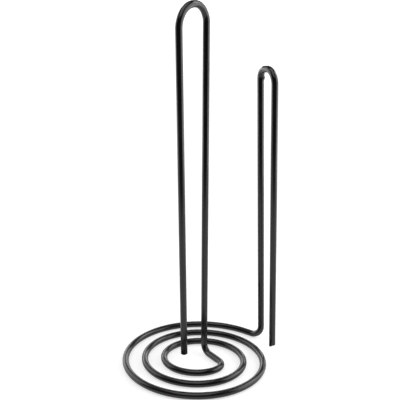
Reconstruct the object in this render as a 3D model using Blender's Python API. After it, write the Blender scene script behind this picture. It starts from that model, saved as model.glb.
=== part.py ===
"""Paper towel holder bent from one length of round, black coated steel wire.

A flat spiral base carries a tall closed loop, the post that holds the roll, and a shorter spring arm that
stands beside the roll and keeps it from unwinding.  The wire is modelled as its straights and bends, in the
order in which it is bent, with a front and a back half for each turn of the spiral.  Each of them is a closed
solid, with a hairline joint between one and the next.

Units are metres, +Z is up.  The holder stands on z = 0, and the origin is under the middle of its outline.
"""

import math

import bmesh
import bpy
from mathutils import Vector

MM = 0.001

# The wire
WIRE_DIAMETER = 6.0 * MM
WIRE_SIDES = 12                      # flat sides of the modelled section; one side faces the table
JOINT_GAP = 0.3 * MM                 # hairline between one section of the wire and the next

# The flat spiral base, wound clockwise from the inside out as seen from above
BASE_START_RADIUS = 21.6 * MM        # radius of the spiral on the right-hand side, before its first turn
BASE_PITCH = 17.8 * MM               # growth of the radius per turn
BASE_OUT_OF_ROUND = 1.6 * MM         # the hand-wound turns are this much longer one way than the other
BASE_LONG_AXIS = math.radians(16.5)  # clockwise angle from the right-hand side to the longer way
BASE_DRIFT = 0.4 * MM                # each turn lies this much nearer the front than the one inside it
BASE_START_TURNS = 0.13              # where the start bend runs into the spiral
BASE_END_TURNS = 2.863               # where the spiral runs into the arm's foot
START_BEND_REACH = 9.6 * MM          # from the corner of the start bend to either end of its arc

# The post: two legs joined by an arch
POST_HEIGHT = 322.0 * MM
FIXED_LEG_FOOT = (5.0 * MM, 15.0 * MM)
FREE_LEG_FOOT = (-13.0 * MM, -12.0 * MM)
FIXED_LEG_LEAN = 0.003               # sideways per unit of height, so the loop opens a little upwards
FREE_LEG_LEAN = -0.010
FREE_TIP_HEIGHT = 14.0 * MM          # the free leg stops this far above the table
POST_FOOT_REACH = 8.0 * MM           # centre-line radius of the bend from leg to base
POST_CROWN_REACHES = (19.0 * MM, 15.0 * MM)  # radii of the arch over the free leg and the fixed leg

# The spring arm: riser, arch and drop leg
ARM_HEIGHT = 268.8 * MM
ARM_CROWN_RISE = 2.6 * MM            # the arch climbs this much from the riser to the drop leg
ARM_CROWN_REACHES = (8.4 * MM, 13.4 * MM)  # radii of the arch over the riser and the drop leg
ARM_RUN_LENGTH = 18.0 * MM           # straight end of the spiral, up to the corner under the riser
ARM_FOOT_REACH = 11.5 * MM           # centre-line radius of the bend from base to riser
RISER_LEAN = -0.029                  # the arm leans in towards the roll
DROP_LEG_OFFSET = (8.7 * MM, -23.0 * MM)
DROP_LEG_LEAN = -0.023
ARM_TIP_HEIGHT = 6.0 * MM
ARM_TIP_SLANT = 0.35                 # the cutter left the end of the wire sloping this much

# Lengths of the two end pieces
FREE_TIP_LENGTH = 16.0 * MM
ARM_TIP_LENGTH = 16.0 * MM

# Shape of a cut end: depth from the end face, and the share of the full section there
END_PROFILE = ((0.0, 0.5), (0.4 * MM, 0.76), (1.1 * MM, 0.93), (2.2 * MM, 1.0))

# Fineness of the curves
BASE_STEP = math.radians(6.0)
BEND_STEP = math.radians(9.0)
SHARP_ANGLE = math.radians(50.0)
LEVEL_TOLERANCE = 1e-5               # a heading with less rise than this lies flat on the table

COAT_COLOUR = (0.012, 0.012, 0.012, 1.0)
COAT_ROUGHNESS = 0.38
COAT_METALLIC = 0.0

UP = Vector((0.0, 0.0, 1.0))


def remove_old_objects():
    """Empty the scene of objects."""
    for old in list(bpy.data.objects):
        bpy.data.objects.remove(old, do_unlink=True)


def base_point(turns):
    """Centre of the wire on the spiral, a number of turns clockwise from the right-hand side."""
    angle = 2.0 * math.pi * turns
    radius = BASE_START_RADIUS + BASE_PITCH * turns
    radius += BASE_OUT_OF_ROUND * math.cos(2.0 * (angle - BASE_LONG_AXIS))
    across = radius * math.cos(angle)
    forward = radius * math.sin(angle) + BASE_DRIFT * turns
    return Vector((across, -forward, WIRE_DIAMETER / 2))


def base_heading(turns):
    """Unit vector along the spiral, pointing outwards along the wire."""
    step = 0.0005
    return (base_point(turns + step) - base_point(turns - step)).normalized()


def spiral(first_turns, last_turns):
    """Points of the wire's centre line between two places on the spiral."""
    steps = max(2, round((last_turns - first_turns) * 2.0 * math.pi / BASE_STEP))
    return [base_point(first_turns + (last_turns - first_turns) * i / steps) for i in range(steps + 1)]


def bend(before, corner, after, reach):
    """Arc that rounds the corner between two straights, meeting each of them `reach` from the corner."""
    back = (before - corner).normalized()
    ahead = (after - corner).normalized()
    turn = math.pi - back.angle(ahead)
    radius = reach / math.tan(turn / 2)
    middle = (back + ahead).normalized()
    centre = corner + middle * (radius / math.cos(turn / 2))
    first = corner + back * reach - centre
    axis = first.cross(corner + ahead * reach - centre).normalized()
    sideways = axis.cross(first)
    steps = max(3, round(turn / BEND_STEP))
    points = []
    for i in range(steps + 1):
        angle = turn * i / steps
        points.append(centre + first * math.cos(angle) + sideways * math.sin(angle))
    return points


def arch(first_foot, first_top, second_top, second_foot, reaches):
    """Arch over two nearly parallel legs, given the corners where their lines meet its top.

    Each corner is rounded by an arc with its own reach, and a short straight may be left between them.
    """
    first_arc = bend(first_foot, first_top, second_top, reaches[0])
    second_arc = bend(first_top, second_top, second_foot, reaches[1])
    return first_arc + second_arc


def wire_sections():
    """Centre line of every section of the wire, in order from the post's free tip to the arm's free tip."""
    on_table = WIRE_DIAMETER / 2

    fixed_foot = Vector((*FIXED_LEG_FOOT, on_table))
    fixed_rise = Vector((FIXED_LEG_LEAN, 0.0, 1.0))
    fixed_top = fixed_foot + fixed_rise * (POST_HEIGHT - 2 * on_table)
    free_foot = Vector((*FREE_LEG_FOOT, on_table))
    free_rise = Vector((FREE_LEG_LEAN, 0.0, 1.0))
    free_top = free_foot + free_rise * (POST_HEIGHT - 2 * on_table)
    free_end = free_foot + free_rise * (FREE_TIP_HEIGHT - on_table)
    free_tip_joint = free_end + free_rise.normalized() * FREE_TIP_LENGTH

    spiral_start = base_point(BASE_START_TURNS)
    start_corner = spiral_start - base_heading(BASE_START_TURNS) * START_BEND_REACH
    spiral_end = base_point(BASE_END_TURNS)
    arm_heading = base_heading(BASE_END_TURNS)
    riser_foot = spiral_end + arm_heading * ARM_RUN_LENGTH
    riser_rise = Vector((RISER_LEAN, 0.0, 1.0))
    drop_foot = riser_foot + Vector((*DROP_LEG_OFFSET, 0.0))
    drop_rise = Vector((DROP_LEG_LEAN, 0.0, 1.0))
    riser_top = riser_foot + riser_rise * (ARM_HEIGHT - ARM_CROWN_RISE - 2 * on_table)
    drop_top = drop_foot + drop_rise * (ARM_HEIGHT - 2 * on_table)
    drop_end = drop_foot + drop_rise * (ARM_TIP_HEIGHT - on_table)
    arm_tip_joint = drop_end + drop_rise.normalized() * ARM_TIP_LENGTH

    post_crown = arch(free_end, free_top, fixed_top, fixed_foot, POST_CROWN_REACHES)
    post_foot = bend(fixed_top, fixed_foot, start_corner, POST_FOOT_REACH)
    start_bend = bend(fixed_foot, start_corner, spiral_start, START_BEND_REACH)
    arm_foot = bend(spiral_end, riser_foot, riser_top, ARM_FOOT_REACH)
    arm_crown = arch(riser_foot, riser_top, drop_top, drop_foot, ARM_CROWN_REACHES)

    return [
        ("post_free_tip", [free_end, free_tip_joint]),
        ("post_free_leg", [free_tip_joint, post_crown[0]]),
        ("post_crown", post_crown),
        ("post_fixed_leg", [post_crown[-1], post_foot[0]]),
        ("post_foot_bend", post_foot),
        ("post_foot_run", [post_foot[-1], start_bend[0]]),
        ("base_start_bend", start_bend),
        ("base_inner_front", spiral(BASE_START_TURNS, 0.5)),
        ("base_inner_back", spiral(0.5, 1.0)),
        ("base_middle_front", spiral(1.0, 1.5)),
        ("base_middle_back", spiral(1.5, 2.0)),
        ("base_outer_front", spiral(2.0, 2.5)),
        ("base_outer_back", spiral(2.5, BASE_END_TURNS)),
        ("arm_foot_run", [spiral_end, arm_foot[0]]),
        ("arm_foot_bend", arm_foot),
        ("arm_riser", [arm_foot[-1], arm_crown[0]]),
        ("arm_crown", arm_crown),
        ("arm_drop_leg", [arm_crown[-1], arm_tip_joint]),
        ("arm_free_tip", [arm_tip_joint, drop_end]),
    ]


def joined(sections):
    """One centre line through all the sections, and the first and last place of each section on it."""
    route = [sections[0][1][0]]
    spans = []
    for _, points in sections:
        first = len(route) - 1
        route.extend(points[1:])
        spans.append((first, len(route) - 1))
    return route, spans


def headings_along(route):
    """Unit vector along the wire at every point of its centre line."""
    last = len(route) - 1
    return [(route[min(i + 1, last)] - route[max(i - 1, 0)]).normalized() for i in range(last + 1)]


def upward_along(headings):
    """Direction across the wire that is upward on the table, at every point of its centre line.

    From the table the direction is carried along the wire both ways without twist, so that the flat
    sides of neighbouring sections line up.
    """
    on_table = [i for i, heading in enumerate(headings) if abs(heading.z) < LEVEL_TOLERANCE]
    upward = [UP.copy() for _ in headings]
    for order in (range(on_table[-1] + 1, len(headings)), range(on_table[0] - 1, -1, -1)):
        for i in order:
            previous = i - order.step
            upward[i] = upward[previous].copy()
            upward[i].rotate(headings[previous].rotation_difference(headings[i]))
    return upward


def outline(centre, heading, upward, scale=1.0):
    """Corners of the wire's many-sided section around a point of its centre line."""
    upright = (upward - heading * upward.dot(heading)).normalized()
    across = heading.cross(upright)
    corner_radius = scale * WIRE_DIAMETER / 2 / math.cos(math.pi / WIRE_SIDES)
    corners = []
    for side in range(WIRE_SIDES):
        angle = 2.0 * math.pi * (side + 0.5) / WIRE_SIDES
        corners.append(centre + corner_radius * (across * math.sin(angle) - upright * math.cos(angle)))
    return corners


def rounded_end(end, inward, upward, slant=0.0):
    """Outlines that close the end of the wire, from its end face inwards.

    A slant slopes the end face, so that its left side reaches further than its right side.
    """
    rings = []
    for depth, scale in END_PROFILE:
        ring = outline(end + inward * depth, inward, upward, scale)
        middle = sum(ring, Vector()) / WIRE_SIDES
        rings.append([corner + inward * (slant * (corner.x - middle.x)) for corner in ring])
    return rings


def coat(name):
    """Satin black coating on steel wire."""
    material = bpy.data.materials.new(name + "_coat")
    material.use_nodes = True
    shader = material.node_tree.nodes["Principled BSDF"]
    shader.inputs["Base Color"].default_value = COAT_COLOUR
    shader.inputs["Roughness"].default_value = COAT_ROUGHNESS
    shader.inputs["Metallic"].default_value = COAT_METALLIC
    return material


def wire_piece(name, rings, holder):
    """Closed piece of wire through a row of outlines, with its origin at the middle of its first one."""
    place = sum(rings[0], Vector()) / WIRE_SIDES
    shape = bmesh.new()
    rows = [[shape.verts.new(corner - place) for corner in ring] for ring in rings]
    for row, following in zip(rows, rows[1:]):
        for side in range(WIRE_SIDES):
            neighbour = (side + 1) % WIRE_SIDES
            shape.faces.new((row[side], row[neighbour], following[neighbour], following[side]))
    shape.faces.new(rows[0])
    shape.faces.new(rows[-1])
    bmesh.ops.recalc_face_normals(shape, faces=shape.faces)
    mesh = bpy.data.meshes.new(name)
    shape.to_mesh(mesh)
    shape.free()
    mesh.shade_smooth()
    mesh.set_sharp_from_angle(angle=SHARP_ANGLE)
    mesh.materials.append(coat(name))
    piece = bpy.data.objects.new(name, mesh)
    piece.parent = holder
    piece.location = place
    bpy.context.scene.collection.objects.link(piece)
    return piece


def build():
    """Make the holder, standing on z = 0 with the origin under the middle of its outline."""
    remove_old_objects()
    holder = bpy.data.objects.new("paper_towel_holder", None)
    bpy.context.scene.collection.objects.link(holder)

    sections = wire_sections()
    route, spans = joined(sections)
    headings = headings_along(route)
    upward = upward_along(headings)

    pieces = {}
    for (name, _), (first, last) in zip(sections, spans):
        rings = []
        for i in range(first, last + 1):
            centre = route[i].copy()
            if i == first and i > 0:
                centre += headings[i] * (JOINT_GAP / 2)
            if i == last and i < len(route) - 1:
                centre -= headings[i] * (JOINT_GAP / 2)
            rings.append(outline(centre, headings[i], upward[i]))
        if first == 0:
            rings[:1] = rounded_end(route[0], headings[0], upward[0])
        if last == len(route) - 1:
            end = rounded_end(route[-1], -headings[-1], upward[-1], ARM_TIP_SLANT)
            rings[-1:] = [ring[::-1] for ring in reversed(end)]
        pieces[name] = rings

    corners = [corner for rings in pieces.values() for ring in rings for corner in ring]
    for axis in (0, 1):
        along = [corner[axis] for corner in corners]
        holder.location[axis] = -(min(along) + max(along)) / 2
    for name, rings in pieces.items():
        wire_piece(name, rings, holder)


build()
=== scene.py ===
"""Looks of the bent wire paper towel holder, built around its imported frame.

The holder is one length of round wire with a satin black coat. Its flat spiral base carries a looped post and
a spring arm. Each straight and bend of the wire is its own piece and stands for the CAD node of the same
name, and the pieces share one continuous skin, so that the finished wire shows no joints.
"""

import logging
import math
from collections.abc import Sequence
from dataclasses import dataclass, field
from enum import Enum
from typing import ClassVar

import bmesh
import bpy
from mathutils import Matrix, Vector, noise


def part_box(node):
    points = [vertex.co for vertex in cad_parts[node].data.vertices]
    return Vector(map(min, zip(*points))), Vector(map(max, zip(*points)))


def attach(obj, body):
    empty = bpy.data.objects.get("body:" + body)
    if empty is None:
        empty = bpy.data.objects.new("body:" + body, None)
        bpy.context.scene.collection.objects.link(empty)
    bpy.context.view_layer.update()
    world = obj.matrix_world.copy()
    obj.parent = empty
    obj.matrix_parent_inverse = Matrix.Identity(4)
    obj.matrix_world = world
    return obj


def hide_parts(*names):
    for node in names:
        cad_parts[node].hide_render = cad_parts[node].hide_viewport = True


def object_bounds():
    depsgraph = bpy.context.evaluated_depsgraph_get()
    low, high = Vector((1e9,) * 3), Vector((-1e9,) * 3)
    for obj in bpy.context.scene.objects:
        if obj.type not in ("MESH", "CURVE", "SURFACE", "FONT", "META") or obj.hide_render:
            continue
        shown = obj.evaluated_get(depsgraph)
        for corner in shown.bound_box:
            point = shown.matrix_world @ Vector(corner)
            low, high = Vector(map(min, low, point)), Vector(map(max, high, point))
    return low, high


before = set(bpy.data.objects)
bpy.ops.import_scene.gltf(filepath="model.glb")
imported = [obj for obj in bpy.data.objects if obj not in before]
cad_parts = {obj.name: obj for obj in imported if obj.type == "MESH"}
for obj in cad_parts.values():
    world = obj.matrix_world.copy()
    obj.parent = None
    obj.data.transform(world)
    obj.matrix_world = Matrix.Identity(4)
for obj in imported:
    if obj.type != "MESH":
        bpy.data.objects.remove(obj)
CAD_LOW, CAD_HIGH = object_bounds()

MM = 0.001
UP = Vector((0.0, 0.0, 1.0))
BODY = "root"
WIRE_DIAMETER = 6.0 * MM
LARGEST_MISFIT = 0.5 * MM
WHITE = (1.0, 1.0, 1.0, 1.0)
SHARE = (0.0, 1.0)      # from none to all
MIX_COLOURS = (6, 7)    # the two colour inputs of a Mix node
MIX_RESULT = 2          # and its colour output

log = logging.getLogger("towel_holder")


class End(Enum):
    """How a section of the wire finishes at one of its ends."""

    JOINT = "runs on into the next section"
    ROUNDED = "ground round, with a bead of coating"
    PINCHED = "nipped off with cutters and coated over"


class Zone(Enum):
    """Part of the holder that a section belongs to, which decides how its coat has worn."""

    POST = "rubbed lengthwise by the cores of the rolls"
    BASE = "scuffed by the table"
    ARM = "brushed by the paper"


# ------------------------------------------------------------
# The line of the wire
# ------------------------------------------------------------


@dataclass(frozen=True)
class Gauge:
    """Round wire stock, and how finely the skin over it is divided."""

    diameter: float
    sides: int = 36
    straight_step: float = 1.5 * MM
    bend_step: float = math.radians(3.0)
    spiral_step: float = math.radians(1.5)

    @property
    def radius(self) -> float:
        """Half the diameter."""
        return self.diameter / 2


@dataclass(frozen=True)
class Section:
    """One straight or bend of the wire.

    Args:
        name: Name of the section, which is also its CAD node's name.
        zone: Part of the holder that the section belongs to.
        line: Points of its centre line, in the order in which the wire runs.
        first_end: How the wire finishes at the first point.
        last_end: How the wire finishes at the last point.
    """

    name: str
    zone: Zone
    line: tuple[Vector, ...]
    first_end: End = End.JOINT
    last_end: End = End.JOINT


def straight(first: Vector, last: Vector, gauge: Gauge) -> list[Vector]:
    """Divide a straight stretch of wire.

    Args:
        first: Where the stretch starts.
        last: Where it ends.
        gauge: Wire stock, which gives the spacing.

    Returns:
        Evenly spaced points, both ends included.
    """
    count = max(1, round((last - first).length / gauge.straight_step))
    return [first.lerp(last, i / count) for i in range(count + 1)]


def bend(before: Vector, corner: Vector, after: Vector, reach: float, gauge: Gauge) -> list[Vector]:
    """Round off the corner between two straights with an arc.

    Args:
        before: A point on the straight that comes in.
        corner: Where the two straights would meet.
        after: A point on the straight that goes out.
        reach: Distance from the corner to either end of the arc.
        gauge: Wire stock, which gives the spacing.

    Returns:
        Points of the arc, from the incoming straight to the outgoing one.
    """
    back = (before - corner).normalized()
    ahead = (after - corner).normalized()
    turn = math.pi - back.angle(ahead)
    radius = reach / math.tan(turn / 2)
    centre = corner + (back + ahead).normalized() * (radius / math.cos(turn / 2))
    first = corner + back * reach - centre
    axis = first.cross(corner + ahead * reach - centre).normalized()
    sideways = axis.cross(first)
    count = max(3, round(turn / gauge.bend_step))
    angles = [turn * i / count for i in range(count + 1)]
    return [centre + first * math.cos(a) + sideways * math.sin(a) for a in angles]


@dataclass(frozen=True)
class Leg:
    """A nearly upright straight of the wire.

    Args:
        foot: Where its line meets the level of the wire on the table.
        lean: Sideways travel for each unit of height.
    """

    foot: Vector
    lean: float

    def at(self, height: float) -> Vector:
        """Point on the leg's line, at a height above the table."""
        return self.foot + Vector((self.lean, 0.0, 1.0)) * (height - self.foot.z)

    def up_from(self, point: Vector, length: float) -> Vector:
        """Point on the leg's line, a length further up than another."""
        return point + Vector((self.lean, 0.0, 1.0)).normalized() * length


# ------------------------------------------------------------
# The skin of the wire
# ------------------------------------------------------------


@dataclass(frozen=True)
class Station:
    """One place along the wire, where its skin has a ring of points.

    Args:
        centre: Point on the centre line.
        heading: Unit vector along the wire.
        upright: Unit vector across the wire, which points up where the wire lies on the table.
        along: Length of wire from the post's tip.
    """

    centre: Vector
    heading: Vector
    upright: Vector
    along: float

    def moved(self, distance: float) -> "Station":
        """The same place, shifted straight along the wire."""
        return Station(self.centre + self.heading * distance, self.heading, self.upright, self.along + distance)


@dataclass
class Wire:
    """The whole length of wire, with one direction across it carried along it without twist.

    Args:
        sections: Straights and bends, from the post's free tip to the arm's.
        stations: Stations of each section, by its name, once the wire is measured.
        length: Length of the wire, once it is measured.
        cuff: Distance from a joint to the extra station that keeps the skin smooth across it.
        level: Rise of a heading that still counts as lying on the table.
    """

    sections: list[Section]
    stations: dict[str, list[Station]] = field(default_factory=dict)
    length: float = 0.0
    cuff: float = 0.05 * MM
    level: float = 1e-4

    def measure(self) -> None:
        """Work out the stations of every section, and the length of the wire."""
        route = [self.sections[0].line[0]]
        spans = []
        for section in self.sections:
            spans.append((len(route) - 1, len(route) + len(section.line) - 2))
            route.extend(section.line[1:])
        along = [0.0]
        for previous, point in zip(route, route[1:]):
            along.append(along[-1] + (point - previous).length)
        self.length = along[-1]
        headings = self._headings(route)
        places = [Station(*values) for values in zip(route, headings, self._uprights(headings), along)]
        for section, (first, last) in zip(self.sections, spans):
            self.stations[section.name] = self._cuffed(places[first:last + 1], section)

    def corners(self, radius: float) -> tuple[Vector, Vector]:
        """Box the wire.

        Args:
            radius: Half the wire's diameter.

        Returns:
            The box's lowest and highest corners.
        """
        points = [point for section in self.sections for point in section.line]
        low, high = (Vector([pick(p[axis] for p in points) for axis in range(3)]) for pick in (min, max))
        return low - Vector((radius,) * 3), high + Vector((radius,) * 3)

    @staticmethod
    def _headings(route: Sequence[Vector]) -> list[Vector]:
        """Unit vector along the wire at every point of its centre line."""
        last = len(route) - 1
        return [(route[min(i + 1, last)] - route[max(i - 1, 0)]).normalized() for i in range(last + 1)]

    def _uprights(self, headings: Sequence[Vector]) -> list[Vector]:
        """Carry one direction across the wire both ways from where it lies on the table.

        Args:
            headings: Unit vector along the wire at every point.

        Returns:
            Unit vector across the wire at every point, which is up on the table.
        """
        flat = [i for i, heading in enumerate(headings) if abs(heading.z) < self.level]
        uprights = [UP.copy() for _ in headings]
        for order in (range(flat[-1] + 1, len(headings)), range(flat[0] - 1, -1, -1)):
            for i in order:
                previous = i - order.step
                uprights[i] = uprights[previous].copy()
                uprights[i].rotate(headings[previous].rotation_difference(headings[i]))
        return uprights

    def _cuffed(self, places: list[Station], section: Section) -> list[Station]:
        """Double the stations beside each joint, so that the skin meets its neighbour without a crease.

        Args:
            places: Stations of a section.
            section: The section.

        Returns:
            The stations with the extra ones among them.
        """
        cuffed = list(places)
        if section.first_end is End.JOINT:
            cuffed.insert(1, places[0].moved(self.cuff))
        if section.last_end is End.JOINT:
            cuffed.insert(-1, places[-1].moved(-self.cuff))
        return cuffed


@dataclass(frozen=True)
class SkinPoint:
    """A point of the skin.

    Args:
        place: Where it is.
        unbent: Where it was on the straight wire, with its length along the wire as z.
    """

    place: Vector
    unbent: Vector

    def shifted(self, move: Vector) -> "SkinPoint":
        """The same point of the skin, moved."""
        return SkinPoint(self.place + move, self.unbent)


@dataclass(frozen=True)
class Bead:
    """A small lump on the skin, where coating gathered as it set.

    Args:
        centre: Middle of the lump.
        reach: How far it spreads.
        height: How far it stands out.
    """

    centre: Vector
    reach: float
    height: float

    def at(self, point: Vector) -> float:
        """Height of the lump at a point of the skin."""
        return self.height * math.exp(-((point - self.centre).length / self.reach) ** 2)


@dataclass
class Skin:
    """Surface of the coated wire, with the shapes of its two free ends.

    Args:
        gauge: Wire stock.
        wire: The measured wire.
        beads: Lumps of coating on it.
        thickness_change: Slow change in the thickness of the coat.
        thickness_spacing: Distance over which it changes.
        ripple_height: Fine ripple of the coat.
        ripple_spacing: Distance from ripple to ripple.
        end_bead: Thickness of the bead of coating at each end.
        end_bead_reach: How far along the wire it fades.
        dome_depth: Length of the ground tip.
        dome_rings: Rings of points on it.
        cut_slant: Slope of the nipped tip's face.
        cut_ridge: Slope of the ridge across it.
        cut_notch: Depth of the cutter's notch.
        cut_notch_width: Half its width.
        cut_rim: Radius of the coated over rim.
        cut_rim_start: Share of the radius at which the rim starts.
        cut_fade: Length over which the wire gets back its round section.
        cut_rings: Rings of points on the face.
        fade_rings: Rings of points behind it.
        sharp: Angle from which an edge is left sharp.
    """

    gauge: Gauge
    wire: Wire
    beads: tuple[Bead, ...] = ()
    thickness_change: float = 0.014 * MM
    thickness_spacing: float = 14.0 * MM
    ripple_height: float = 0.004 * MM
    ripple_spacing: float = 3.2 * MM
    end_bead: float = 0.09 * MM
    end_bead_reach: float = 3.5 * MM
    dome_depth: float = 2.3 * MM
    dome_rings: int = 10
    cut_slant: float = 0.33
    cut_ridge: float = 0.16
    cut_notch: float = 0.45 * MM
    cut_notch_width: float = 0.9 * MM
    cut_rim: float = 0.5 * MM
    cut_rim_start: float = 0.8
    cut_fade: float = 2.2 * MM
    cut_rings: int = 12
    fade_rings: int = 4
    sharp: float = math.radians(50.0)

    def relief(self, point: SkinPoint) -> float:
        """Work out how far the skin stands out from the wire's nominal radius.

        Args:
            point: Point of the nominal skin.

        Returns:
            Height of the real skin there.
        """
        out = self.thickness_change * noise.noise(point.unbent / self.thickness_spacing)
        out += self.ripple_height * noise.noise(point.unbent / self.ripple_spacing)
        from_end = min(point.unbent.z, self.wire.length - point.unbent.z) / self.end_bead_reach
        out += self.end_bead * math.exp(-from_end ** 2)
        return out + sum(bead.at(point.place) for bead in self.beads)

    def ring(self, station: Station, scale: float = 1.0) -> list[SkinPoint]:
        """Points of the skin around a station.

        Args:
            station: Place along the wire.
            scale: Share of the wire's radius.

        Returns:
            The ring, from the underside round.
        """
        upright = (station.upright - station.heading * station.upright.dot(station.heading)).normalized()
        across = station.heading.cross(upright)
        reach = self.gauge.radius * scale
        ring = []
        for side in range(self.gauge.sides):
            angle = math.tau * side / self.gauge.sides
            outward = across * math.sin(angle) - upright * math.cos(angle)
            unbent = Vector((reach * math.sin(angle), -reach * math.cos(angle), station.along))
            point = SkinPoint(station.centre + outward * reach, unbent)
            ring.append(point.shifted(outward * (self.relief(point) * scale)))
        return ring

    def dome(self, tip: Station, inward: float) -> list[list[SkinPoint]]:
        """Ground tip: a low dome.

        Args:
            tip: Station at the end of the wire.
            inward: 1 where the wire runs away from the tip, -1 where it runs up to it.

        Returns:
            Rings from the end inwards.
        """
        rings = []
        for i in range(1, self.dome_rings + 1):
            rise = math.pi / 2 * i / self.dome_rings
            depth = self.dome_depth * (1.0 - math.cos(rise))
            rings.append(self.ring(tip.moved(inward * depth), math.sin(rise)))
        return rings

    def cut(self, tip: Station, inward: float) -> list[list[SkinPoint]]:
        """Nipped tip: a sloping face with the cutter's ridge and notch in it, and a coated over rim.

        Args:
            tip: Station at the end of the wire.
            inward: 1 where the wire runs away from the tip, -1 where it runs up to it.

        Returns:
            Rings from the end inwards.
        """
        rings = []
        for i in range(1, self.cut_rings + 1):
            scale = i / self.cut_rings
            rim = max(0.0, scale - self.cut_rim_start) / (1.0 - self.cut_rim_start)
            depth = self.cut_rim * (1.0 - math.sqrt(1.0 - rim * rim))
            rings.append(self._nipped(tip.moved(inward * depth), inward, scale, 1.0))
        for i in range(1, self.fade_rings + 1):
            share = i / self.fade_rings
            depth = self.cut_rim + share * self.cut_fade
            rings.append(self._nipped(tip.moved(inward * depth), inward, 1.0, (1.0 - share) ** 2))
        return rings

    def _nipped(self, station: Station, inward: float, scale: float, share: float) -> list[SkinPoint]:
        """A ring pushed inwards by the cutter.

        Args:
            station: Place along the wire.
            inward: 1 where the wire runs away from the tip, -1 where it runs up to it.
            scale: Share of the wire's radius.
            share: Share of the cut's full depth.

        Returns:
            The pushed ring.
        """
        ring = []
        for point in self.ring(station, scale):
            off = point.place - station.centre
            push = self.cut_slant * off.x + self.cut_ridge * abs(off.y)
            push += self.cut_notch * math.exp(-(off.x / self.cut_notch_width) ** 2)
            ring.append(point.shifted(station.heading * (inward * push * share)))
        return ring

    def rings(self, section: Section) -> list[list[SkinPoint]]:
        """Shape a section.

        Args:
            section: Straight or bend of the wire.

        Returns:
            All its rings, with its free end closed where it has one.
        """
        stations = self.wire.stations[section.name]
        rings = [self.ring(station) for station in stations]
        shapes = {End.ROUNDED: self.dome, End.PINCHED: self.cut}
        if section.first_end in shapes:
            rings[:1] = shapes[section.first_end](stations[0], 1.0)
        if section.last_end in shapes:
            rings[-1:] = reversed(shapes[section.last_end](stations[-1], -1.0))
        return rings

    def cover(self, section: Section) -> bpy.types.Object:
        """Make the closed skin of a section.

        Args:
            section: Straight or bend of the wire.

        Returns:
            The piece, linked to the scene.
        """
        rings = self.rings(section)
        shape = bmesh.new()
        rows = [[shape.verts.new(point.place) for point in ring] for ring in rings]
        count = self.gauge.sides
        for row, following in zip(rows, rows[1:]):
            for side in range(count):
                neighbour = (side + 1) % count
                shape.faces.new((row[side], row[neighbour], following[neighbour], following[side]))
        for row in (rows[0], rows[-1]):
            shape.faces.new(row)
        bmesh.ops.recalc_face_normals(shape, faces=shape.faces)
        mesh = bpy.data.meshes.new(section.name + "_skin")
        shape.to_mesh(mesh)
        shape.free()
        mesh.shade_smooth()
        mesh.set_sharp_from_angle(angle=self.sharp)
        unbent = mesh.attributes.new("unbent", "FLOAT_VECTOR", "POINT")
        unbent.data.foreach_set("vector", [c for ring in rings for point in ring for c in point.unbent])
        piece = bpy.data.objects.new(section.name + "_wire", mesh)
        bpy.context.scene.collection.objects.link(piece)
        return piece


# ------------------------------------------------------------
# The coat
# ------------------------------------------------------------


class ShaderGraph:
    """The nodes of one material, with short ways to add and join them."""

    def __init__(self, name: str) -> None:
        """Make the material and keep its Principled BSDF.

        Args:
            name: Name of the material.
        """
        self.material = bpy.data.materials.new(name)
        self.material.use_nodes = True
        self.nodes = self.material.node_tree.nodes
        self.links = self.material.node_tree.links
        self.shader = self.nodes["Principled BSDF"]

    def add(self, kind: str, inputs: dict[str | int, object], **settings: object) -> bpy.types.Node:
        """Add a node.

        Args:
            kind: Node type, without its ShaderNode prefix.
            inputs: A value, or another node's output, for each named input.
            settings: Properties of the node.

        Returns:
            The node.
        """
        node = self.nodes.new("ShaderNode" + kind)
        for name, value in settings.items():
            setattr(node, name, value)
        self.feed(node, inputs)
        return node

    def feed(self, node: bpy.types.Node, inputs: dict[str | int, object]) -> None:
        """Set or link inputs of a node.

        Args:
            node: The node.
            inputs: A value, or another node's output, for each named input.
        """
        for name, value in inputs.items():
            if isinstance(value, bpy.types.NodeSocket):
                self.links.new(value, node.inputs[name])
            else:
                node.inputs[name].default_value = value

    def noise(self, space: bpy.types.NodeSocket, spacing: float, detail: float) -> bpy.types.NodeSocket:
        """Smooth noise in a space, with features about a spacing apart."""
        node = self.add("TexNoise", {"Vector": space, "Scale": 1.0 / spacing, "Detail": detail})
        return node.outputs["Fac"]

    def spread(
        self,
        value: bpy.types.NodeSocket,
        source: tuple[float, float],
        target: tuple[float, float],
    ) -> bpy.types.NodeSocket:
        """Map a value from one range to another, and hold it there.

        Args:
            value: What is mapped.
            source: Range that it comes from.
            target: Range that it is mapped to.

        Returns:
            The mapped value.
        """
        ends = {"Value": value, "From Min": source[0], "From Max": source[1]}
        node = self.add("MapRange", {**ends, "To Min": target[0], "To Max": target[1]})
        return node.outputs["Result"]

    def maths(self, operation: str, first: object, second: object) -> bpy.types.NodeSocket:
        """Combine two values."""
        return self.add("Math", {0: first, 1: second}, operation=operation).outputs[0]

    def blend(self, share: object, first: object, second: object) -> bpy.types.NodeSocket:
        """Mix two colours.

        Args:
            share: Share of the second.
            first: Colour where the share is 0.
            second: Colour where the share is 1.

        Returns:
            The mixed colour.
        """
        node = self.nodes.new("ShaderNodeMix")
        node.data_type = "RGBA"
        self.feed(node, {0: share, MIX_COLOURS[0]: first, MIX_COLOURS[1]: second})
        return node.outputs[MIX_RESULT]


@dataclass(frozen=True)
class Wear:
    """How a part of the holder has worn.

    Args:
        polish: How much smoother the rubbed streaks are than the rest of the coat.
        scuffs: Share of the scuff colour in the scuffed streaks.
        dust: Share of dust on the faces that look up.
    """

    polish: float
    scuffs: float
    dust: float


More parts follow.
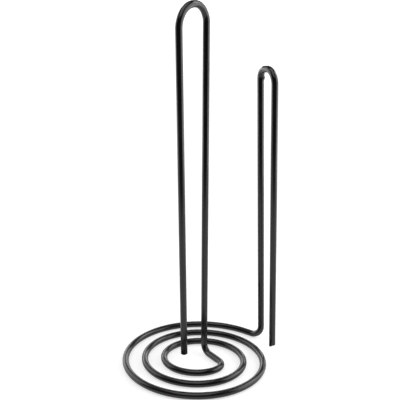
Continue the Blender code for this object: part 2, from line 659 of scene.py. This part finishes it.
@dataclass(frozen=True)
class Coat:
    """Satin black coating, with its orange peel, streaks, scuffs and dust.

    The streaks, patches and specks are noise from 0 to 1, and each span below is the part of it that counts.
    """

    wear: Wear
    deep: tuple[float, float, float, float] = (0.0022, 0.0022, 0.0023, 1.0)
    thin: tuple[float, float, float, float] = (0.0060, 0.0060, 0.0060, 1.0)
    scuffed: tuple[float, float, float, float] = (0.055, 0.055, 0.056, 1.0)
    dusty: tuple[float, float, float, float] = (0.16, 0.16, 0.155, 1.0)
    roughness: tuple[float, float] = (0.15, 0.21)
    roughness_span: tuple[float, float] = (0.65, 1.35)
    ior: float = 1.46
    streak_length: float = 22.0
    streak_width: float = 1.1 * MM
    streak_detail: float = 4.0
    streak_relief: float = 0.4
    streak_span: tuple[float, float] = (0.3, 0.7)
    streak_depth: tuple[float, float] = (0.4, 1.0)
    thin_span: tuple[float, float] = (0.15, 0.6)
    rubbed_span: tuple[float, float] = (0.56, 0.72)
    patch_size: float = 24.0 * MM
    patch_detail: float = 3.0
    peel_size: float = 0.8 * MM
    peel_detail: float = 2.0
    peel_height: float = 0.010 * MM
    peel_strength: float = 0.35
    speck_size: float = 0.35 * MM
    speck_detail: float = 1.0
    speck_span: tuple[float, float] = (0.62, 0.72)
    upward_span: tuple[float, float] = (0.45, 1.0)

    def material(self, name: str) -> bpy.types.Material:
        """Make the coat.

        Args:
            name: Name of the material.

        Returns:
            The material.
        """
        graph = ShaderGraph(name)
        unbent = graph.add("Attribute", {}, attribute_name="unbent").outputs["Vector"]
        drawn_out = (1.0, 1.0, 1.0 / self.streak_length)
        lengthwise = graph.add("VectorMath", {0: unbent, 1: drawn_out}, operation="MULTIPLY").outputs[0]
        streaks = graph.noise(lengthwise, self.streak_width, self.streak_detail)
        patches = graph.noise(unbent, self.patch_size, self.patch_detail)
        rubbed = graph.maths("MULTIPLY", graph.spread(streaks, self.rubbed_span, SHARE), patches)
        dust = graph.maths("MULTIPLY", self._settled(graph, unbent, patches), self.wear.dust)
        graph.feed(graph.shader, {
            "Base Color": self._colour(graph, streaks, patches, rubbed, dust),
            "Roughness": self._roughness(graph, streaks, patches, rubbed, dust),
            "Normal": self._relief(graph, unbent, streaks),
            "IOR": self.ior,
        })
        return graph.material

    def _colour(
        self,
        graph: ShaderGraph,
        streaks: bpy.types.NodeSocket,
        patches: bpy.types.NodeSocket,
        rubbed: bpy.types.NodeSocket,
        dust: bpy.types.NodeSocket,
    ) -> bpy.types.NodeSocket:
        """Colour the coat: deep black, thinner in streaks, with scuffs and dust over it.

        Args:
            graph: The coat's nodes.
            streaks: Noise drawn out along the wire.
            patches: Broad noise.
            rubbed: How far a place is rubbed.
            dust: Share of dust.

        Returns:
            The colour.
        """
        depth = graph.maths("MULTIPLY", graph.spread(streaks, self.streak_span, self.streak_depth), patches)
        colour = graph.blend(graph.spread(depth, self.thin_span, SHARE), self.deep, self.thin)
        colour = graph.blend(graph.maths("MULTIPLY", rubbed, self.wear.scuffs), colour, self.scuffed)
        return graph.blend(dust, colour, self.dusty)

    def _roughness(
        self,
        graph: ShaderGraph,
        streaks: bpy.types.NodeSocket,
        patches: bpy.types.NodeSocket,
        rubbed: bpy.types.NodeSocket,
        dust: bpy.types.NodeSocket,
    ) -> bpy.types.NodeSocket:
        """Vary the roughness: smoother where rubbed, rougher under dust.

        Args:
            graph: The coat's nodes.
            streaks: Noise drawn out along the wire.
            patches: Broad noise.
            rubbed: How far a place is rubbed.
            dust: Share of dust.

        Returns:
            The roughness.
        """
        uneven = graph.spread(graph.maths("ADD", streaks, patches), self.roughness_span, self.roughness)
        polished = graph.maths("SUBTRACT", uneven, graph.maths("MULTIPLY", rubbed, self.wear.polish))
        return graph.maths("ADD", polished, dust)

    def _relief(
        self, graph: ShaderGraph, unbent: bpy.types.NodeSocket, streaks: bpy.types.NodeSocket
    ) -> bpy.types.NodeSocket:
        """Roughen the coat with its orange peel and streaks.

        Args:
            graph: The coat's nodes.
            unbent: Place on the straight wire.
            streaks: Noise drawn out along the wire.

        Returns:
            The bumped normal.
        """
        peel = graph.noise(unbent, self.peel_size, self.peel_detail)
        height = graph.maths("ADD", peel, graph.maths("MULTIPLY", streaks, self.streak_relief))
        bump = {"Height": height, "Strength": self.peel_strength, "Distance": self.peel_height}
        return graph.add("Bump", bump).outputs["Normal"]

    def _settled(
        self, graph: ShaderGraph, unbent: bpy.types.NodeSocket, patches: bpy.types.NodeSocket
    ) -> bpy.types.NodeSocket:
        """Find where dust lies: on faces that look up, in specks and drifts.

        Args:
            graph: The coat's nodes.
            unbent: Place on the straight wire.
            patches: Broad noise.

        Returns:
            How thickly dust lies.
        """
        normal = graph.add("NewGeometry", {}).outputs["Normal"]
        upward = graph.add("SeparateXYZ", {"Vector": normal}).outputs["Z"]
        facing = graph.spread(upward, self.upward_span, SHARE)
        specks = graph.noise(unbent, self.speck_size, self.speck_detail)
        scattered = graph.maths("ADD", graph.spread(specks, self.speck_span, SHARE), patches)
        return graph.maths("MULTIPLY", facing, scattered)


WEAR_OF_ZONE = {
    Zone.POST: Wear(polish=0.05, scuffs=0.22, dust=0.03),
    Zone.BASE: Wear(polish=0.02, scuffs=0.12, dust=0.05),
    Zone.ARM: Wear(polish=0.05, scuffs=0.10, dust=0.03),
}


# ------------------------------------------------------------
# The sub-assemblies
# ------------------------------------------------------------


class Stretch:
    """A stretch of the wire that makes one sub-assembly of the holder, cut into a piece for each CAD node."""

    zone: ClassVar[Zone]

    def build(self, skin: Skin) -> dict[str, bpy.types.Object]:
        """Cover the stretch, and set each piece in place of its CAD node.

        Args:
            skin: Surface of the whole wire.

        Returns:
            The pieces by the names of their nodes, in the order in which the wire runs.
        """
        pieces = {}
        for section in skin.wire.sections:
            if section.zone is self.zone:
                piece = skin.cover(section)
                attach(piece, BODY)
                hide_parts(section.name)
                pieces[section.name] = piece
        return pieces

    def dress(self, pieces: dict[str, bpy.types.Object]) -> None:
        """Coat the stretch.

        Args:
            pieces: Its pieces by the names of their nodes.
        """
        coat = Coat(WEAR_OF_ZONE[self.zone]).material("black_coat_" + self.zone.name.lower())
        for piece in pieces.values():
            piece.data.materials.append(coat)


@dataclass
class Post(Stretch):
    """The tall open loop that holds the roll: a free leg, an arch and a fixed leg that runs into the base.

    Args:
        gauge: Wire stock.
        height: Height of the arch's top above the table.
        fixed_foot: Where the fixed leg's line meets the base, from the middle of the spiral.
        fixed_lean: Its sideways travel for each unit of height.
        free_foot: Where the free leg's line meets the base.
        free_lean: Its sideways travel for each unit of height.
        tip_height: Height of the free tip above the table.
        tip_length: Length of the tip's section.
        foot_reach: Reach of the bend at the foot.
        crown_reaches: Reaches of the arch's two bends, the free leg's first.
    """

    zone: ClassVar[Zone] = Zone.POST
    gauge: Gauge
    height: float = 322.0 * MM
    fixed_foot: tuple[float, float] = (5.0 * MM, 15.0 * MM)
    fixed_lean: float = 0.003
    free_foot: tuple[float, float] = (-13.0 * MM, -12.0 * MM)
    free_lean: float = -0.010
    tip_height: float = 14.0 * MM
    tip_length: float = 16.0 * MM
    foot_reach: float = 8.0 * MM
    crown_reaches: tuple[float, float] = (19.0 * MM, 15.0 * MM)

    @property
    def fixed_leg(self) -> Leg:
        """The leg that stands on the base."""
        return Leg(Vector((*self.fixed_foot, self.gauge.radius)), self.fixed_lean)

    @property
    def free_leg(self) -> Leg:
        """The leg that ends just above the table."""
        return Leg(Vector((*self.free_foot, self.gauge.radius)), self.free_lean)

    def sections(self, start_corner: Vector, start_reach: float) -> list[Section]:
        """Lay out the post.

        Args:
            start_corner: Corner of the base's start bend, which the foot run points at.
            start_reach: Distance from that corner to the end of the foot run.

        Returns:
            The post's sections, from the free tip to the foot run.
        """
        gauge, fixed, free = self.gauge, self.fixed_leg, self.free_leg
        top = self.height - gauge.radius
        tip = free.at(self.tip_height)
        tip_joint = free.up_from(tip, self.tip_length)
        near_arc = bend(free.foot, free.at(top), fixed.at(top), self.crown_reaches[0], gauge)
        far_arc = bend(free.at(top), fixed.at(top), fixed.foot, self.crown_reaches[1], gauge)
        foot = bend(fixed.at(top), fixed.foot, start_corner, self.foot_reach, gauge)
        run_end = start_corner + (fixed.foot - start_corner).normalized() * start_reach
        lines = {
            "post_free_leg": straight(tip_joint, near_arc[0], gauge),
            "post_crown": near_arc + far_arc,
            "post_fixed_leg": straight(far_arc[-1], foot[0], gauge),
            "post_foot_bend": foot,
            "post_foot_run": straight(foot[-1], run_end, gauge),
        }
        tip_line = tuple(straight(tip, tip_joint, gauge))
        laid = [Section("post_free_tip", self.zone, tip_line, first_end=End.ROUNDED)]
        return laid + [Section(name, self.zone, tuple(line)) for name, line in lines.items()]


@dataclass
class SpiralBase(Stretch):
    """The flat spiral that the holder stands on, wound clockwise outwards as seen from above.

    Args:
        gauge: Wire stock.
        start_radius: Radius at which the spiral would begin.
        pitch: Growth of the radius in a turn.
        out_of_round: How much wider and narrower the turns are along and across their long axis.
        long_axis: Direction of that axis.
        drift: Travel of the turns towards the front in a turn.
        start_turns: Where the start bend runs into the spiral.
        end_turns: Where the spiral runs out into the arm.
        start_reach: Reach of the start bend.
    """

    zone: ClassVar[Zone] = Zone.BASE
    gauge: Gauge
    start_radius: float = 21.6 * MM
    pitch: float = 17.8 * MM
    out_of_round: float = 1.6 * MM
    long_axis: float = math.radians(16.5)
    drift: float = 0.4 * MM
    start_turns: float = 0.13
    end_turns: float = 2.863
    start_reach: float = 9.6 * MM

    def point(self, turns: float) -> Vector:
        """Find the centre of the wire.

        Args:
            turns: Turns clockwise from the right-hand side.

        Returns:
            The centre there, at rest on the table.
        """
        angle = 2.0 * math.pi * turns
        radius = self.start_radius + self.pitch * turns
        radius += self.out_of_round * math.cos(2.0 * (angle - self.long_axis))
        forward = radius * math.sin(angle) + self.drift * turns
        return Vector((radius * math.cos(angle), -forward, self.gauge.radius))

    def heading(self, turns: float) -> Vector:
        """Unit vector along the wire, outwards."""
        step = 0.0005
        return (self.point(turns + step) - self.point(turns - step)).normalized()

    def turn(self, first: float, last: float) -> list[Vector]:
        """Points of the centre line between two places on the spiral."""
        count = max(2, round((last - first) * 2.0 * math.pi / self.gauge.spiral_step))
        return [self.point(first + (last - first) * i / count) for i in range(count + 1)]

    @property
    def start_corner(self) -> Vector:
        """Corner between the post's foot run and the first turn."""
        return self.point(self.start_turns) - self.heading(self.start_turns) * self.start_reach

    def sections(self, post_foot: Vector) -> list[Section]:
        """Lay out the base.

        Args:
            post_foot: Where the line of the post's fixed leg meets the base.

        Returns:
            The start bend and the half turns, from the inside out.
        """
        start = bend(post_foot, self.start_corner, self.point(self.start_turns), self.start_reach, self.gauge)
        turns = {
            "base_inner_front": (self.start_turns, 0.5),
            "base_inner_back": (0.5, 1.0),
            "base_middle_front": (1.0, 1.5),
            "base_middle_back": (1.5, 2.0),
            "base_outer_front": (2.0, 2.5),
            "base_outer_back": (2.5, self.end_turns),
        }
        laid = [Section("base_start_bend", self.zone, tuple(start))]
        laid += [Section(name, self.zone, tuple(self.turn(*ends))) for name, ends in turns.items()]
        return laid


@dataclass
class SpringArm(Stretch):
    """The hairpin beside the roll: riser, arch and a drop leg whose nipped end hangs free.

    Args:
        gauge: Wire stock.
        height: Height of the arch's top above the table.
        crown_rise: How much lower the arch's corner is over the riser than over the drop leg.
        crown_reaches: Reaches of the arch's two bends, the riser's first.
        run_length: Distance from the end of the spiral to the riser.
        foot_reach: Reach of the bend at the foot.
        riser_lean: Sideways travel of the riser for each unit of height.
        drop_offset: Place of the drop leg's foot, from the riser's.
        drop_lean: Sideways travel of the drop leg for each unit of height.
        tip_height: Height of the free tip above the table.
        tip_length: Length of the tip's section.
        drip_reach: How far the drip of coating in the arch spreads.
        drip_height: How far it stands out.
        drip_station: Where it is, counted along the arch from the riser.
        drip_side: Side of the wire that it is on.
    """

    zone: ClassVar[Zone] = Zone.ARM
    gauge: Gauge
    height: float = 268.8 * MM
    crown_rise: float = 2.6 * MM
    crown_reaches: tuple[float, float] = (8.4 * MM, 13.4 * MM)
    run_length: float = 18.0 * MM
    foot_reach: float = 11.5 * MM
    riser_lean: float = -0.029
    drop_offset: tuple[float, float] = (8.7 * MM, -23.0 * MM)
    drop_lean: float = -0.023
    tip_height: float = 6.0 * MM
    tip_length: float = 16.0 * MM
    drip_reach: float = 1.5 * MM
    drip_height: float = 1.0 * MM
    drip_station: int = 3
    drip_side: tuple[float, float, float] = (0.94, -0.34, 0.0)

    def sections(self, base_end: Vector, heading: Vector) -> list[Section]:
        """Lay out the arm.

        Args:
            base_end: Where the spiral ends.
            heading: Unit vector along the wire there.

        Returns:
            The arm's sections, from the foot run to the free tip.
        """
        gauge = self.gauge
        riser = Leg(base_end + heading * self.run_length, self.riser_lean)
        drop = Leg(riser.foot + Vector((*self.drop_offset, 0.0)), self.drop_lean)
        riser_top = riser.at(self.height - self.crown_rise - gauge.radius)
        drop_top = drop.at(self.height - gauge.radius)
        foot = bend(base_end, riser.foot, riser_top, self.foot_reach, gauge)
        far_arc = bend(riser.foot, riser_top, drop_top, self.crown_reaches[0], gauge)
        near_arc = bend(riser_top, drop_top, drop.foot, self.crown_reaches[1], gauge)
        tip = drop.at(self.tip_height)
        tip_joint = drop.up_from(tip, self.tip_length)
        lines = {
            "arm_foot_run": straight(base_end, foot[0], gauge),
            "arm_foot_bend": foot,
            "arm_riser": straight(foot[-1], far_arc[0], gauge),
            "arm_crown": far_arc + near_arc,
            "arm_drop_leg": straight(near_arc[-1], tip_joint, gauge),
        }
        laid = [Section(name, self.zone, tuple(line)) for name, line in lines.items()]
        tip_line = tuple(straight(tip_joint, tip, gauge))
        laid.append(Section("arm_free_tip", self.zone, tip_line, last_end=End.PINCHED))
        return laid

    def drip(self, wire: Wire) -> Bead:
        """Shape the drip of coating that set inside the crown, where the riser runs into it.

        Args:
            wire: The measured wire.

        Returns:
            The drip.
        """
        station = wire.stations["arm_crown"][self.drip_station]
        centre = station.centre + Vector(self.drip_side) * self.gauge.radius
        return Bead(centre, self.drip_reach, self.drip_height)


# ------------------------------------------------------------
# The whole holder
# ------------------------------------------------------------


@dataclass
class TowelHolder:
    """The whole holder: post, base and spring arm of one wire, under one coat."""

    gauge: Gauge
    post: Post
    base: SpiralBase
    arm: SpringArm

    def place(self, sections: list[Section]) -> list[Section]:
        """Move the wire to where the frame has it.

        Args:
            sections: The wire as laid out around the middle of its spiral.

        Returns:
            The same sections, with the middle of their outline where the CAD model's is.
        """
        low, high = Wire(sections).corners(self.gauge.radius)
        move = (CAD_LOW + CAD_HIGH - low - high) / 2
        move.z = CAD_LOW.z - low.z
        return [Section(s.name, s.zone, tuple(p + move for p in s.line), s.first_end, s.last_end)
                for s in sections]

    def lay_out(self) -> Wire:
        """Lay the wire, from the post's free tip round the base to the arm's.

        Returns:
            The measured wire.
        """
        base, end = self.base, self.base.end_turns
        sections = self.post.sections(base.start_corner, base.start_reach)
        sections += base.sections(self.post.fixed_leg.foot)
        sections += self.arm.sections(base.point(end), base.heading(end))
        wire = Wire(self.place(sections))
        wire.measure()
        return wire

    def skin(self) -> Skin:
        """Surface of the whole wire, with the drip in the arm's crown."""
        wire = self.lay_out()
        return Skin(self.gauge, wire, (self.arm.drip(wire),))


# ------------------------------------------------------------
# The studio
# ------------------------------------------------------------


@dataclass(frozen=True)
class Softbox:
    """A large soft lamp.

    Args:
        name: Name of the lamp.
        place: Where it hangs.
        target: What it points at.
        width: Its width.
        height: Its height.
        power: Its power in watts.
    """

    name: str
    place: tuple[float, float, float]
    target: tuple[float, float, float]
    width: float
    height: float
    power: float

    def hang(self) -> None:
        """Add the lamp to the scene."""
        light = bpy.data.lights.new(self.name, "AREA")
        light.shape = "RECTANGLE"
        light.size, light.size_y = self.width, self.height
        light.energy = self.power
        lamp = bpy.data.objects.new(self.name, light)
        lamp.location = self.place
        aim = Vector(self.target) - Vector(self.place)
        lamp.rotation_euler = aim.to_track_quat("-Z", "Y").to_euler()
        lamp.visible_camera = False
        bpy.context.scene.collection.objects.link(lamp)


@dataclass(frozen=True)
class Paper:
    """Matt pale paper with a faint fibre, which gives off painted light of its own so that shadows on it stay
    faint.

    Args:
        tone: How light it is.
        tone_change: How much the fibre changes that.
        front_glow: Light that it gives off from front to back.
        front_glow_range: How far back from the middle of the holder that goes.
        wall_glow: Light that it gives off besides, from the floor up.
        wall_glow_range: How high that goes.
    """

    tone: float = 0.50
    tone_change: float = 0.015
    fibre_size: float = 3.0 * MM
    fibre_detail: float = 4.0
    fibre_span: tuple[float, float] = (0.3, 0.7)
    roughness: float = 0.95
    shine: float = 0.1
    front_glow: tuple[float, float] = (0.61, 0.48)
    front_glow_range: tuple[float, float] = (-0.20, 0.60)
    wall_glow: tuple[float, float] = (0.0, 0.30)
    wall_glow_range: tuple[float, float] = (0.0, 0.25)

    def material(self, name: str) -> bpy.types.Material:
        """Make the paper.

        Args:
            name: Name of the material.

        Returns:
            The material.
        """
        graph = ShaderGraph(name)
        place = graph.add("TexCoord", {}).outputs["Object"]
        fibre = graph.noise(place, self.fibre_size, self.fibre_detail)
        tones = (self.tone - self.tone_change, self.tone + self.tone_change)
        tone = graph.spread(fibre, self.fibre_span, tones)
        colour = graph.add("CombineColor", {"Red": tone, "Green": tone, "Blue": tone}).outputs["Color"]
        split = graph.add("SeparateXYZ", {"Vector": place}).outputs
        # Painted light: the paper glows by itself, more towards the front and up the wall, which fills in the
        # shadows on it.
        front = graph.spread(split["Y"], self.front_glow_range, self.front_glow)
        wall = graph.spread(split["Z"], self.wall_glow_range, self.wall_glow)
        graph.feed(graph.shader, {
            "Base Color": colour,
            "Roughness": self.roughness,
            "Specular IOR Level": self.shine,
            "Emission Color": WHITE,
            "Emission Strength": graph.maths("ADD", front, wall),
        })
        return graph.material


@dataclass(frozen=True)
class Studio:
    """A sweep of pale paper, soft lamps and the camera."""

    paper: Paper = Paper()
    front: float = -0.45
    back: float = 1.10
    half_width: float = 1.60
    wall_height: float = 0.48
    curve_radius: float = 0.35
    curve_steps: int = 24
    room_tone: float = 0.06
    backdrop_tone: float = 0.88
    lens: float = 63.0
    sensor: float = 36.0
    look_down: float = math.radians(17.36)
    roll: float = math.radians(0.104)
    camera_place: tuple[float, float, float] = (-0.000158, -0.57774, 0.33613)
    lamps: tuple[Softbox, ...] = (
        Softbox("overhead", (-0.12, -0.35, 1.35), (-0.12, -0.35, 0.0), 1.0, 1.6, 9.5),
        Softbox("key", (0.74, 0.36, 0.86), (0.0, 0.0, 0.30), 0.12, 0.40, 1.5),
        Softbox("right", (0.62, 0.03, 0.42), (0.0, 0.03, 0.40), 0.80, 0.82, 6.0),
        Softbox("left", (-0.62, 0.30, 0.42), (0.0, 0.20, 0.40), 0.80, 0.82, 4.2),
        Softbox("behind", (0.0, 1.00, 0.42), (0.0, 0.0, 0.05), 1.6, 0.20, 3.4),
    )

    def profile(self) -> list[tuple[float, float]]:
        """Draw the side view of the sweep.

        Returns:
            Its points, from the front edge over the curve to the top of the wall.
        """
        middle = (self.back - self.curve_radius, self.curve_radius)
        angles = [math.pi / 2 * i / self.curve_steps for i in range(self.curve_steps + 1)]
        curve = [(middle[0] + self.curve_radius * math.sin(a), middle[1] - self.curve_radius * math.cos(a))
                 for a in angles]
        return [(self.front, 0.0), *curve, (self.back, self.wall_height)]

    def sweep(self) -> bpy.types.Object:
        """Lay the paper.

        Returns:
            The sweep, linked to the scene.
        """
        shape = bmesh.new()
        rows = [[shape.verts.new((x, y, z)) for x in (-self.half_width, self.half_width)]
                for y, z in self.profile()]
        for row, following in zip(rows, rows[1:]):
            shape.faces.new((row[0], row[1], following[1], following[0]))
        mesh = bpy.data.meshes.new("paper_sweep")
        shape.to_mesh(mesh)
        shape.free()
        mesh.shade_smooth()
        mesh.materials.append(self.paper.material("pale_paper"))
        paper = bpy.data.objects.new("paper_sweep", mesh)
        bpy.context.scene.collection.objects.link(paper)
        return paper

    def room(self) -> None:
        """Dim, even light from the rest of the room, which itself looks pale past the edges of the paper."""
        world = bpy.data.worlds.new("room")
        world.use_nodes = True
        nodes, links = world.node_tree.nodes, world.node_tree.links
        background = nodes["Background"]
        background.inputs["Color"].default_value = WHITE
        seen = nodes.new("ShaderNodeLightPath").outputs["Is Camera Ray"]
        tone = nodes.new("ShaderNodeMapRange")
        tone.inputs["To Min"].default_value = self.room_tone
        tone.inputs["To Max"].default_value = self.backdrop_tone
        links.new(seen, tone.inputs["Value"])
        links.new(tone.outputs["Result"], background.inputs["Strength"])
        bpy.context.scene.world = world

    def camera(self) -> None:
        """Set the camera up."""
        data = bpy.data.cameras.new("camera")
        data.lens, data.sensor_width = self.lens, self.sensor
        camera = bpy.data.objects.new("camera", data)
        turn = Matrix.Rotation(math.pi / 2 - self.look_down, 4, "X") @ Matrix.Rotation(self.roll, 4, "Z")
        camera.matrix_world = Matrix.Translation(self.camera_place) @ turn
        bpy.context.scene.collection.objects.link(camera)
        bpy.context.scene.camera = camera

    def build(self) -> None:
        """Put up the sweep, the lamps and the camera."""
        self.sweep()
        for lamp in self.lamps:
            lamp.hang()
        self.room()
        self.camera()
        bpy.context.scene.view_settings.view_transform = "Standard"


def report(node: str, piece: bpy.types.Object) -> None:
    """Log a piece, and how far its box is from its CAD node's.

    Args:
        node: Name of the CAD node that it stands for.
        piece: Its skin.
    """
    places = [vertex.co for vertex in piece.data.vertices]
    own = [Vector([pick(p[axis] for p in places) for axis in range(3)]) for pick in (min, max)]
    misfit = max(abs(a - b) for mine, cad in zip(own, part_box(node)) for a, b in zip(mine, cad))
    level = logging.INFO if misfit < LARGEST_MISFIT else logging.WARNING
    faces = len(piece.data.polygons)
    log.log(level, "%s: %d faces, %.2f mm off its CAD box", piece.name, faces, misfit / MM)


def main() -> None:
    """Build the holder and the studio."""
    logging.basicConfig(level=logging.INFO, format="%(name)s: %(message)s")
    gauge = Gauge(WIRE_DIAMETER)
    holder = TowelHolder(gauge, Post(gauge), SpiralBase(gauge), SpringArm(gauge))
    skin = holder.skin()
    for part in (holder.post, holder.base, holder.arm):
        pieces = part.build(skin)
        part.dress(pieces)
        for node, piece in pieces.items():
            report(node, piece)
    Studio().build()


if __name__ == "__main__":
    main()
